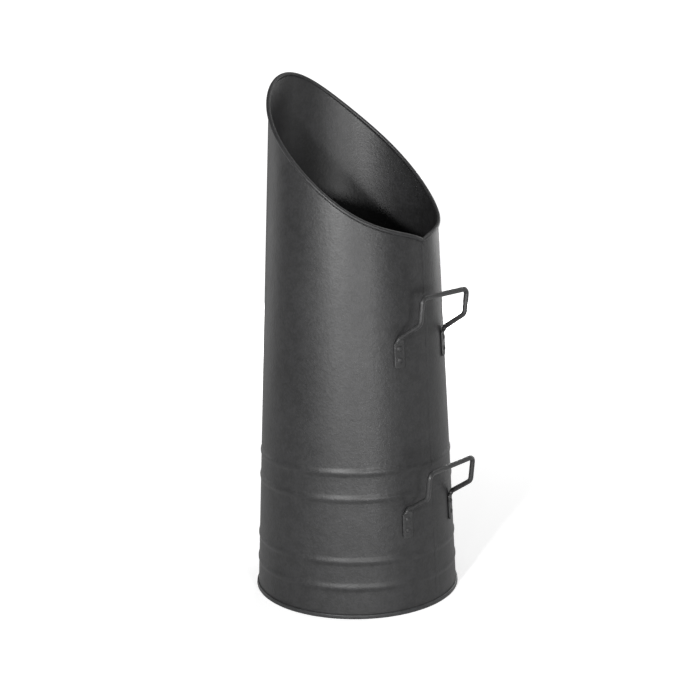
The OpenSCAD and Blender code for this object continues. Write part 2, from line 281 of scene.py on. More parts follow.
class NodeBoard:
    """Places and links the nodes of one tree."""

    def __init__(self, tree: bpy.types.NodeTree) -> None:
        """Keeps the tree that the nodes go into."""
        self.tree = tree

    def add(self, kind: str, **settings: object) -> bpy.types.Node:
        """Adds a node.

        Args:
            kind: The node's type.
            settings: The properties to set on it.

        Returns:
            The node.
        """
        node = self.tree.nodes.new(kind)
        for name, value in settings.items():
            setattr(node, name, value)
        return node

    def feed(self, node: bpy.types.Node, **values: object) -> bpy.types.Node:
        """Sets or links a node's inputs.

        Args:
            node: The node.
            values: Input names, with _ for a space, and a number, a colour or a socket each.

        Returns:
            The same node.
        """
        for name, value in values.items():
            socket = node.inputs[name.replace("_", " ")]
            if isinstance(value, Socket):
                self.tree.links.new(value, socket)
            else:
                socket.default_value = value
        return node

    def math(self, operation: str, *values: Socket | float) -> Socket:
        """Adds a math node.

        Args:
            operation: What it works out.
            values: Its inputs in order, each a number or a socket.

        Returns:
            The socket of its result.
        """
        node = self.add("ShaderNodeMath", operation=operation)
        for socket, value in zip(node.inputs, values):
            if isinstance(value, Socket):
                self.tree.links.new(value, socket)
            else:
                socket.default_value = value
        return node.outputs[0]

    def ramp(self, value: Socket, low: Socket | float, high: Socket | float) -> Socket:
        """Adds a smooth rise between two values.

        Args:
            value: The value to look at.
            low: The value that gives 0.
            high: The value that gives 1.

        Returns:
            The socket of the result.
        """
        node = self.add("ShaderNodeMapRange", interpolation_type="SMOOTHSTEP")
        self.feed(node, Value=value, From_Min=low, From_Max=high)
        return node.outputs["Result"]

    def mix(self, share: Socket, one: object, other: object) -> Socket:
        """Mixes two colours.

        Args:
            share: How much of the other colour there is.
            one: The first colour, or its socket.
            other: The other colour, or its socket.

        Returns:
            The socket of the mixed colour.
        """
        node = self.add("ShaderNodeMix", data_type="RGBA")
        sockets = {s.identifier: s for s in node.inputs}
        pairs = (("Factor_Float", share), ("A_Color", one), ("B_Color", other))
        for name, value in pairs:
            if isinstance(value, Socket):
                self.tree.links.new(value, sockets[name])
            else:
                sockets[name].default_value = value
        return next(s for s in node.outputs if s.identifier == "Result_Color")

    def noise(self, scale: Socket | float, detail: float, roughness: float) -> Socket:
        """Adds a noise over the piece's own space.

        Args:
            scale: How many waves there are in a metre.
            detail: How many finer layers are added.
            roughness: How strong the finer layers are.

        Returns:
            The socket of the noise's value.
        """
        place = self.add("ShaderNodeTexCoord")
        node = self.add("ShaderNodeTexNoise")
        self.feed(
            node, Vector=place.outputs["Object"], Scale=scale, Detail=detail, Roughness=roughness
        )
        return node.outputs["Fac"]


@dataclass(frozen=True)
class PowderGrain:
    """The cured powder's surface: fine grain, broad clouds and stray specks."""

    peel_scale: float = 0.3
    peel_share: float = 0.4
    clouds: tuple[float, float] = (0.3, 0.7)
    speck_edge: float = 0.32
    speck_core: float = 0.12

    def build(self) -> bpy.types.NodeTree:
        """Builds the group.

        Returns:
            The group, with outputs Grain, Clouds and Specks.
        """
        maker = GroupMaker("powder_grain")
        board = NodeBoard(maker.tree)
        grain_scale = maker.add_input("Grain Scale", 900.0)
        cloud_scale = maker.add_input("Cloud Scale", 12.0)
        speck_scale = maker.add_input("Speck Scale", 500.0)
        speck_share = maker.add_input("Speck Share", 0.1)

        fine = board.noise(grain_scale, detail=2.0, roughness=0.6)
        peel_scale = board.math("MULTIPLY", grain_scale, self.peel_scale)
        peel = board.noise(peel_scale, detail=1.0, roughness=0.5)
        fine_part = board.math("MULTIPLY", fine, 1 - self.peel_share)
        peel_part = board.math("MULTIPLY", peel, self.peel_share)
        maker.add_output("Grain", board.math("ADD", fine_part, peel_part))
        cloud = board.noise(cloud_scale, detail=3.0, roughness=0.55)
        maker.add_output("Clouds", board.ramp(cloud, *self.clouds))

        place = board.add("ShaderNodeTexCoord")
        cells = board.add("ShaderNodeTexVoronoi")
        board.feed(cells, Vector=place.outputs["Object"], Scale=speck_scale)
        split = board.add("ShaderNodeSeparateColor")
        board.tree.links.new(cells.outputs["Color"], split.inputs[0])
        chosen = board.math("LESS_THAN", split.outputs[0], speck_share)
        spot = board.ramp(cells.outputs["Distance"], self.speck_edge, self.speck_core)
        maker.add_output("Specks", board.math("MULTIPLY", chosen, spot))
        return maker.tree


@dataclass(frozen=True)
class HandlingPolishAndSheen:
    """The mask of places where the coat is lightened and smoothed, broken up by a noise: polish by
    handling, and a painted highlight along the ribs, the seam's fold and the mouth bead's top.
    """

    patches: tuple[float, float] = (0.25, 0.7)
    least: float = 0.4

    def build(self) -> bpy.types.NodeTree:
        """Builds the group.

        Returns:
            The group, with output Rubbed.
        """
        maker = GroupMaker("handling_rub")
        board = NodeBoard(maker.tree)
        amount = maker.add_input("Amount", 0.3)
        break_scale = maker.add_input("Break Scale", 160.0)
        marked = board.add("ShaderNodeAttribute", attribute_name=RUB_AND_SHEEN)
        patches = board.noise(break_scale, detail=3.0, roughness=0.6)
        broken = board.ramp(patches, *self.patches)
        patchy = board.math("ADD", board.math("MULTIPLY", broken, 1 - self.least), self.least)
        worn_and_sheen = board.math("MULTIPLY", marked.outputs["Fac"], patchy)
        maker.add_output("Rubbed", board.math("MULTIPLY", worn_and_sheen, amount))
        return maker.tree


@dataclass(frozen=True)
class PowderCoat:
    """A satin powder coat on steel."""

    name: str
    colour: tuple[float, float, float]
    light_colour: tuple[float, float, float]
    roughness: float
    roughness_range: float = 0.06
    grain_scale: float = 380.0
    grain_height: float = 0.36 * MM
    cloud_scale: float = 11.0
    cloud_share: float = 0.18
    mottle_share: float = 0.5
    mottle: tuple[float, float] = (0.36, 0.64)
    speck_scale: float = 420.0
    speck_share: float = 0.12
    speck_strength: float = 0.5
    rub: float = 0.35

    def build(self, grain: bpy.types.NodeTree, rub: bpy.types.NodeTree) -> bpy.types.Material:
        """Builds the material.

        Args:
            grain: The powder_grain group.
            rub: The handling_rub group.

        Returns:
            The material.
        """
        material = bpy.data.materials.new(self.name)
        material.use_nodes = True
        board = NodeBoard(material.node_tree)
        shader = material.node_tree.nodes["Principled BSDF"]
        surface = board.add("ShaderNodeGroup", node_tree=grain)
        board.feed(
            surface,
            Grain_Scale=self.grain_scale,
            Cloud_Scale=self.cloud_scale,
            Speck_Scale=self.speck_scale,
            Speck_Share=self.speck_share,
        )
        polish_sheen_group = board.add("ShaderNodeGroup", node_tree=rub)
        board.feed(polish_sheen_group, Amount=self.rub)

        base = (*self.colour, 1.0)
        light = (*self.light_colour, 1.0)
        cloud = board.math("MULTIPLY", surface.outputs["Clouds"], self.cloud_share)
        grains = board.ramp(surface.outputs["Grain"], *self.mottle)
        cloud = board.math("MULTIPLY_ADD", grains, self.mottle_share, cloud)
        speck = board.math("MULTIPLY", surface.outputs["Specks"], self.speck_strength)
        # The mask lightens the coat colour: real polish on the grips, feet, rivet heads and base
        # rim, and a painted highlight along the ribs, the seam's fold and the mouth bead's top.
        polished_and_sheen = polish_sheen_group.outputs["Rubbed"]
        lighter = board.math("MAXIMUM", board.math("MAXIMUM", cloud, speck), polished_and_sheen)
        colour = board.mix(lighter, base, light)
        clouded = board.math(
            "MULTIPLY_ADD", surface.outputs["Clouds"], self.roughness_range, self.roughness
        )
        smoothing = board.math("MULTIPLY", polished_and_sheen, 2 * self.roughness_range)
        rough = board.math("SUBTRACT", clouded, smoothing)
        bump = board.add("ShaderNodeBump")
        board.feed(bump, Height=surface.outputs["Grain"], Distance=self.grain_height, Strength=1.0)
        board.feed(shader, Base_Color=colour, Roughness=rough, Normal=bump.outputs["Normal"])
        return material


@dataclass(frozen=True)
class BareWire:
    """Drawn steel wire with a dull skin."""

    name: str = "drawn_wire"
    colour: tuple[float, float, float] = (0.20, 0.19, 0.18)
    dark_colour: tuple[float, float, float] = (0.07, 0.06, 0.055)
    roughness: float = 0.42
    roughness_range: float = 0.2
    cloud_scale: float = 60.0
    grain_height: float = 0.01 * MM

    def build(self, grain: bpy.types.NodeTree) -> bpy.types.Material:
        """Builds the material.

        Args:
            grain: The powder_grain group, for its clouds and its grain.

        Returns:
            The material.
        """
        material = bpy.data.materials.new(self.name)
        material.use_nodes = True
        board = NodeBoard(material.node_tree)
        shader = material.node_tree.nodes["Principled BSDF"]
        surface = board.add("ShaderNodeGroup", node_tree=grain)
        board.feed(surface, Cloud_Scale=self.cloud_scale)
        clouds = surface.outputs["Clouds"]
        colour = board.mix(clouds, (*self.colour, 1.0), (*self.dark_colour, 1.0))
        rough = board.math("MULTIPLY_ADD", clouds, self.roughness_range, self.roughness)
        bump = board.add("ShaderNodeBump")
        board.feed(bump, Height=surface.outputs["Grain"], Distance=self.grain_height)
        board.feed(shader, Base_Color=colour, Roughness=rough, Normal=bump.outputs["Normal"])
        shader.inputs["Metallic"].default_value = 1.0
        return material


# ---- The sheet-metal body ----


@dataclass(frozen=True)
class Wall:
    """The leaning wall of the round body, with its swaged ribs."""

    foot_radius: float = 105 * MM
    lean: float = math.radians(2.77)
    sheet: float = 0.7 * MM
    rib_pairs: tuple[float, float] = (44.8 * MM, 134.1 * MM)
    rib_spacing: float = 26.4 * MM
    rib_width: float = 10.5 * MM
    rib_height: float = 0.9 * MM

    def radius(self, height: float) -> float:
        """Returns the radius of the outer face at a height, ribs left out."""
        return self.foot_radius - height * math.tan(self.lean)

    def rib_heights(self) -> list[float]:
        """Returns the heights of the middles of the four ribs, from the lowest up."""
        return [pair + side * self.rib_spacing / 2 for pair in self.rib_pairs for side in (-1, 1)]

    def bulge(self, height: float) -> float:
        """Works out how far a rib pushes the wall out.

        Args:
            height: The height above the floor.

        Returns:
            The distance outward, 0 between the ribs.
        """
        total = 0.0
        for middle in self.rib_heights():
            across = 2 * (height - middle) / self.rib_width
            if abs(across) < 1:
                total += self.rib_height * (1 + math.cos(math.pi * across)) / 2
        return total

    def placing(self, angle: float, height: float) -> Matrix:
        """Works out a frame on the wall's outer face.

        Args:
            angle: The place's angle from the seam.
            height: Its height above the floor.

        Returns:
            The matrix that lays X out of the wall, Y round it and Z up it.
        """
        return (
            Matrix.Rotation(angle, 4, "Z")
            @ Matrix.Translation((self.radius(height), 0, height))
            @ Matrix.Rotation(-self.lean, 4, "Y")
        )


@dataclass(frozen=True)
class MouthLine:
    """The line of the mouth bead's middle, from the low seam to the high lip."""

    wall: Wall
    lip_height: float
    seam_height: float = 367.5 * MM
    hollow: float = 10.5 * MM
    shoulder: float = 3.1 * MM
    notch_depth: float = 8.5 * MM
    notch_reach: float = math.radians(12.5)

    def _waves(self) -> list[tuple[float, int]]:
        """Returns the depth of each smooth wave of the line and its crests in a full turn."""
        rise = self.lip_height - self.seam_height - self.notch_depth
        return [(rise, 1), (-self.hollow, 2), (-self.shoulder, 4)]

    def _notch(self, angle: float) -> float:
        """Returns how far the notch at the seam lowers the line."""
        return self.notch_depth * math.exp(-angle / self.notch_reach)

    def height(self, angle: float) -> float:
        """Works out the height of the bead's middle.

        Args:
            angle: The angle from the seam, either way.

        Returns:
            The height above the floor.
        """
        away = abs(angle)
        waves = sum(depth * (1 - math.cos(crests * away)) / 2 for depth, crests in self._waves())
        return self.seam_height + self.notch_depth + waves - self._notch(away)

    def stretch(self, angle: float) -> float:
        """Works out how much longer an upright cut through the bead is than a square one.

        Args:
            angle: The angle from the seam, either way.

        Returns:
            The factor, 1 where the line runs level.
        """
        away = abs(angle)
        rise = sum(depth * crests * math.sin(crests * away) / 2 for depth, crests in self._waves())
        rise += self._notch(away) / self.notch_reach
        return math.hypot(1, rise / self.wall.radius(self.height(angle)))


@dataclass(frozen=True)
class Column:
    """One upright cut through the body sheet: its closed outline, and the curl's places in it."""

    ring: Ring
    polish_and_sheen_values: list[float]
    curl: range


@dataclass
class BodySheet(SubAssembly):
    """The rolled sheet: hem, ribs, lock seam, slanted mouth and the curl over the wire."""

    wall: Wall
    mouth: MouthLine
    bead_radius: float = BEAD_RADIUS
    bead_out: float = BEAD_OUT
    neck_radius: float = 1.5 * MM
    curl_end: float = math.radians(-80)
    curl_steps: int = 22
    butt_gap: float = 0.5 * MM
    butt_rounding: float = 0.12 * MM
    hem_bottom: float = 0.9 * MM
    hem_top: float = 3.7 * MM
    seam_width: float = 5 * MM
    seam_out: float = 0.25 * MM
    seam_in: float = 1.2 * MM
    seam_bottom: float = 10 * MM
    seam_fade: float = 1.4 * MM
    seam_top_fade: float = 2.5 * MM
    seam_start: float = 5 * MM
    shoulder_run: float = 1.4 * MM
    fold_run: float = 0.6 * MM
    relief_lead: float = 0.45 * MM
    crevice_depth: float = 0.3
    crevice_out: float = 0.2 * MM
    crevice_width: float = 0.14 * MM
    plain_from: float = 160 * MM
    plain_rows: int = 3
    rib_rows: int = 12
    flat_row: float = 5 * MM
    upper_rows: int = 64
    row_crowding: float = 1.25
    side_columns: int = 132
    column_crowding: float = 1.3
    neck_steps: int = 6
    # How much the coat is lightened along the ribs and the seam's fold, and where on the bead's
    # top it starts: painted highlight.
    rib_crest_sheen: float = 0.8
    seam_fold_sheen: float = 0.5
    bead_sheen_from: float = -0.35
    # In millimetres: columns beside the shoulder, the fold and the butt gap, and the lowest rows
    shoulder_marks: tuple[float, ...] = (-0.5, -0.25, 0.0, 0.3, 0.6, 0.95, 1.5)
    fold_marks: tuple[float, ...] = (-0.5, -0.32, -0.15, 0.0, 0.1, 0.18, 0.32, 0.5)
    butt_marks: tuple[float, ...] = (0.0, 0.2, 0.65, 1.1)
    foot_marks: tuple[float, ...] = (
        4.6, 5.4, 6.2, 7.2, 8.4, 9.4, 10.2, 11.2, 12.6, 15.0, 19.0, 24.0,
    )

    def _seam_places(self) -> list[float]:
        """Works out where the seam and the butt gap need columns.

        Returns:
            The distances from the seam's middle, in order.
        """
        half = self.seam_width / 2
        gap = self.butt_gap / 2
        shoulder = [-half + mark * MM for mark in self.shoulder_marks]
        fold = [half + mark * MM for mark in self.fold_marks]
        butt = [gap + mark * MM for mark in self.butt_marks]
        other_butt = [-gap - mark * MM for mark in self.butt_marks[:2]]
        return sorted(shoulder + fold + butt + other_butt)

    def _angles(self) -> list[float]:
        """Works out where the sheet is cut into columns.

        Returns:
            The columns' angles, from just past the butt gap round to it again.
        """
        reference = self.wall.radius(self.seam_bottom)
        seam = [place / reference for place in self._seam_places()]
        right_edge, left_edge = seam[-1], seam[0]
        shares = [share**self.column_crowding for share in spaced(0, 1, self.side_columns)[1:]]
        right = [blend(right_edge, math.pi, share) for share in shares]
        left = [blend(left_edge, -math.pi, share) for share in shares[:-1]]
        before = [angle for angle in seam if angle > 0]
        after = [angle for angle in seam if angle < 0]
        return before + right + [angle + 2 * math.pi for angle in left[::-1] + after]

    def _relief(self, across: float) -> float:
        """Works out the shape of the lock seam.

        Args:
            across: The distance from the seam's middle.

        Returns:
            The share of the seam's full height there, below 0 in the crevice beside its fold.
        """
        half = self.seam_width / 2
        shoulder = smooth_step((across + half + self.relief_lead) / self.shoulder_run)
        fold = 1 - smooth_step((across - half + self.relief_lead) / self.fold_run)
        into_crevice = (across - half - self.crevice_out) / self.crevice_width
        return shoulder * fold - self.crevice_depth * math.exp(-(into_crevice**2))

    def _low_heights(self) -> list[float]:
        """Works out the rows of the ribbed part of the wall.

        Returns:
            The rows' heights, from the hem up to the plain part.
        """
        rows = [mark * MM for mark in self.foot_marks]
        half = self.wall.rib_width / 2
        last = rows[-1]
        for middle in self.wall.rib_heights():
            start = middle - half
            flat_steps = max(1, round((start - last) / self.flat_row))
            rows += spaced(last, start, flat_steps)[1:]
            rows += spaced(start, middle + half, self.rib_rows)[1:]
            last = middle + half
        return rows + spaced(last, self.plain_from, self.plain_rows)[1:]

    def _neck(self) -> tuple[float, float, float]:
        """Works out the bend that leads from the wall into the curl.

        Returns:
            The bend's angle, its drop below the bead's middle, and how far out its centre is.
        """
        half = self.wall.sheet / 2
        reach = self.neck_radius + self.bead_radius - half
        turn = math.acos((self.neck_radius + self.bead_out + half) / reach)
        return turn, reach * math.sin(turn), -half - self.neck_radius

    def _curl_halves(self, thinner: float) -> tuple[list[Point2], list[Point2]]:
        """Works out the neck and the curl as (out, up) from the bead's middle.

        Args:
            thinner: How much each face of the curl is drawn in, as at its rounded butt ends.

        Returns:
            The face on the wire's side with the rounded free edge, and the face on the open
            side, both in the order of the sheet, with the neck's points at their start.
        """
        turn, drop, neck_out = self._neck()
        half = self.wall.sheet / 2
        neck_turns = (0.0, math.degrees(turn))
        neck_centre = (neck_out, -drop)
        wire_neck = arc(neck_centre, self.neck_radius + half, *neck_turns, self.neck_steps)[1:]
        open_neck = arc(neck_centre, self.neck_radius - half, *neck_turns, self.neck_steps)[1:]
        turns = (180 + math.degrees(turn), math.degrees(self.curl_end))
        centre = (self.bead_out, 0.0)
        middle_radius = self.bead_radius - half
        thin_half = half - thinner
        wire_curl = arc(centre, middle_radius - thin_half, *turns, self.curl_steps)[1:]
        open_curl = arc(centre, middle_radius + thin_half, *turns, self.curl_steps)[1:]
        end = self.curl_end
        tip = arc(centre, middle_radius, turns[1], turns[1], 1)[0]
        rounding = [
            (
                tip[0] + thin_half * (-math.cos(a) * math.cos(end) + math.sin(a) * math.sin(end)),
                tip[1] + thin_half * (-math.cos(a) * math.sin(end) - math.sin(a) * math.cos(end)),
            )
            for a in spaced(0, math.pi, 4)[1:-1]
        ]
        return wire_neck + wire_curl + rounding, open_neck + open_curl

    def _face_rows(self, relief: float, neck_height: float, inside: bool) -> list[Row]:
        """Works out the rows of one face of the wall.

        Args:
            relief: The lock seam's share of its full height in this column.
            neck_height: The height at which the wall ends and the neck starts.
            inside: Whether the rows are for the inner face.

        Returns:
            The offset, height and rub of each row, from below.
        """
        rows = []
        span = neck_height - self.plain_from
        shares = [1 - (1 - v) ** self.row_crowding for v in spaced(0, 1, self.upper_rows)[1:]]
        upper = [self.plain_from + span * share for share in shares]
        start = self.seam_bottom if inside else self.seam_start
        for height in self._low_heights() + upper:
            fade = smooth_step((height - start) / self.seam_fade)
            fade *= smooth_step((neck_height - height) / self.seam_top_fade)
            seam = relief * fade
            bulge = self.wall.bulge(height)
            pressed = -self.wall.sheet - self.seam_in * seam if inside else self.seam_out * seam
            # Painted highlight: the coat is lightened along the ribs, most at their crests, and on
            # the seam's raised fold outside.
            seam_fold_sheen = 0.0 if inside else self.seam_fold_sheen * max(0.0, seam)
            rub = max(self.rib_crest_sheen * bulge / self.wall.rib_height, seam_fold_sheen)
            rows.append((bulge + pressed, height, rub))
        return rows

    def _bead_rows(
        self, points: Sequence[Point2], centre_height: float, stretch: float, inside: bool
    ) -> list[Row]:
        """Places one face of the neck and the curl in a column.

        Args:
            points: The face's points as (out, up) from the bead's middle in a square cut.
            centre_height: The height of the bead's middle.
            stretch: How much longer the upright cut is than the square one.
            inside: Whether the face lies on the wire, out of reach of hands, where the coat is not
                lightened.

        Returns:
            The offset, height and rub of each point, in the same order.
        """
        rows = []
        for out, up in points:
            # Painted highlight: the coat is lightened on the upper side of the bead, outside the
            # curl.
            rub = 0.0 if inside else smooth_step(up / self.bead_radius - self.bead_sheen_from)
            rows.append((out, centre_height + up * stretch, rub))
        return rows

    def _column(self, angle: float) -> Column:
        """Works out the sheet's closed outline in an upright cut.

        Args:
            angle: The cut's angle from the seam, from 0 up to a full turn.

        Returns:
            The column. It starts at the hem and runs up the outer face, over the curl and
            down the inner face.
        """
        signed = angle - 2 * math.pi if angle > math.pi else angle
        across = signed * self.wall.radius(self.seam_bottom)
        centre_height = self.mouth.height(signed)
        stretch = self.mouth.stretch(signed)
        neck_height = centre_height - self._neck()[1] * stretch
        relief = self._relief(across) if abs(across) < self.seam_width else 0.0
        at_butt = abs(across) < self.butt_gap / 2 + self.butt_rounding
        wire_side, open_side = self._curl_halves(self.butt_rounding if at_butt else 0.0)
        hem_out = self.wall.sheet
        rows = [
            (-self.wall.sheet, self.hem_bottom, 0.0),
            (hem_out, self.hem_bottom, 0.0),
            (hem_out, self.hem_top, 0.0),
            (0.0, self.hem_top, 0.0),
        ]
        rows += self._face_rows(relief, neck_height, inside=False)
        curl_start = len(rows) + self.neck_steps - 1
        rows += self._bead_rows(wire_side, centre_height, stretch, inside=True)
        rows += self._bead_rows(open_side[::-1], centre_height, stretch, inside=False)
        curl = range(curl_start, len(rows) - self.neck_steps)
        rows += reversed(self._face_rows(relief, neck_height, inside=True))
        cosine, sine = math.cos(angle), math.sin(angle)
        ring = []
        for offset, height, _ in rows:
            radius = self.wall.radius(height) + offset
            ring.append(Vector((radius * cosine, radius * sine, height)))
        return Column(ring, [rub for _, _, rub in rows], curl)

    def build(self) -> bpy.types.Object:
        """Builds the body sheet, open at the butt of its curl.

        Returns:
            The piece body_shell.
        """
        draft = MeshDraft()
        columns = [self._column(angle) for angle in self._angles()]
        rings = [draft.add_ring(column.ring, column.polish_and_sheen_values) for column in columns]
        for one, other in zip(rings, rings[1:]):
            draft.bridge(one, other)
        curl = columns[0].curl
        draft.bridge(rings[-1], rings[0], skip=curl)
        self._close_butt(draft, rings, curl)
        return draft.finish("body_shell", crease=50)

    def _close_butt(self, draft: MeshDraft, rings: list[list[int]], curl: range) -> None:
        """Closes both butt ends of the curl, and the sheet between their roots.

        Args:
            draft: The body sheet's draft.
            rings: The indices of its columns, in order.
            curl: The curl's places along a column.
        """
        for ring in (rings[0], rings[-1]):
            first, last = curl[0], curl[-1] + 1
            while last - first > 2:
                draft.faces.append((ring[first], ring[first + 1], ring[last - 1], ring[last]))
                first += 1
                last -= 1
            if last - first == 2:
                draft.faces.append((ring[first], ring[first + 1], ring[last]))
        root, back = curl[0], curl[-1] + 1
        draft.faces.append((rings[0][root], rings[-1][root], rings[-1][back], rings[0][back]))


@dataclass
class MouthWire(SubAssembly):
    """The round wire inside the curl."""

    wall: Wall
    mouth: MouthLine
    radius: float = 1.3 * MM
    bead_out: float = BEAD_OUT
    sides: int = 16
    stations: int = 240

    def build(self) -> bpy.types.Object:
        """Builds the wire along the mouth line.

        Returns:
            The piece rim_wire.
        """
        draft = MeshDraft()
        rings = []
        for angle in spaced(-math.pi, math.pi, self.stations)[:-1]:
            height = self.mouth.height(angle)
            stretch = self.mouth.stretch(angle)
            out = self.wall.radius(height) + self.bead_out
            ring = []
            for turn in spaced(0, 2 * math.pi, self.sides)[:-1]:
                r = out + self.radius * math.cos(turn)
                z = height + self.radius * math.sin(turn) * stretch
                ring.append(Vector((r * math.cos(angle), r * math.sin(angle), z)))
            rings.append(draft.add_ring(ring))
        for i, ring in enumerate(rings):
            draft.bridge(ring, rings[(i + 1) % len(rings)])
        return draft.finish("rim_wire")


@dataclass
class BasePan(SubAssembly):
    """The pressed bottom: a raised panel, and a rim folded up round the hem."""

    wall: Wall
    sheet: float = 0.8 * MM
    gap: float = 0.1 * MM
    panel_height: float = 8 * MM
    rim_height: float = 4.6 * MM
    panel_corner: float = 2.2 * MM
    foot_corner: float = 0.9 * MM
    rim_foot_round: float = 1.4 * MM
    rim_top_round: float = 1.25 * MM
    rim_rub: float = 0.8
    panel_rings: tuple[float, ...] = (0.25, 0.5, 0.75, 0.95)
    fold_steps: int = 6
    corner_steps: int = 8
    rim_top_steps: int = 9
    steps: int = 288

    def _outline(self) -> list[Point2]:
        """Works out the cut through half of the pan.

        Returns:
            The outline (radius, height), from the underside's middle round to the top's.
        """
        inside = -self.wall.sheet - self.gap
        outside = self.wall.sheet + self.gap
        under = self.panel_height - self.sheet
        under_round = self.panel_corner - self.sheet
        skirt = self.wall.radius(under) + inside - self.sheet
        foot = self.wall.radius(0) + inside - self.sheet
        rim = self.wall.radius(0) + outside + self.sheet
        rim_top = self.wall.radius(self.rim_height) + outside + self.sheet
        fold_edge = self.wall.radius(self.rim_height) + self.gap
        fold_under = self.rim_height - self.sheet
        fold_tip = self.sheet / 2
        top_side = self.wall.radius(self.panel_height) + inside
        lower = [(0.0, under)]
        lower += [(share * (skirt - under_round), under) for share in self.panel_rings]
        under_centre = (skirt - under_round, under - under_round)
        lower += arc(under_centre, under_round, 90, 0, self.fold_steps)
        foot_centre = (foot + self.foot_corner, self.foot_corner)
        lower += arc(foot_centre, self.foot_corner, 180, 270, self.fold_steps)
        rim_foot_centre = (rim - self.rim_foot_round, self.rim_foot_round)
        rim_side = arc(rim_foot_centre, self.rim_foot_round, -90, 0, self.corner_steps)
        rim_top_centre = (rim_top - self.rim_top_round, self.rim_height - self.rim_top_round)
        rim_side += arc(rim_top_centre, self.rim_top_round, 0, 90, self.rim_top_steps)
        tip_centre = (fold_edge + fold_tip, self.rim_height - fold_tip)
        fold = arc(tip_centre, fold_tip, 90, 270, self.fold_steps)
        channel = [
            (self.wall.radius(fold_under) + outside, fold_under),
            (self.wall.radius(self.sheet) + outside, self.sheet),
            (self.wall.radius(self.sheet) + inside, self.sheet),
        ]
        flat = top_side - self.panel_corner
        panel_centre = (flat, self.panel_height - self.panel_corner)
        top = arc(panel_centre, self.panel_corner, 0, 90, self.corner_steps)
        top += [(share * flat, self.panel_height) for share in reversed(self.panel_rings)]
        return lower + rim_side + fold + channel + top + [(0.0, self.panel_height)]

    def _rub(self, point: Point2) -> float:
        """Returns the rub value: the floor and the hearth polish the rim."""
        on_rim = point[0] > self.wall.radius(0) + self.wall.sheet
        return self.rim_rub if on_rim else 0.0

    def build(self) -> bpy.types.Object:
        """Turns the pan from its outline.

        Returns:
            The piece bottom_pan.
        """
        draft = MeshDraft()
        draft.lathe(self._outline(), self.steps, self._rub)
        return draft.finish("bottom_pan", crease=55)


# ---- Handles ----


@dataclass
class PathPoint:
    """A place on a rod's middle line, with its section's half sizes and corner radius."""

    place: Vector
    half_width: float
    half_depth: float
    corner: float


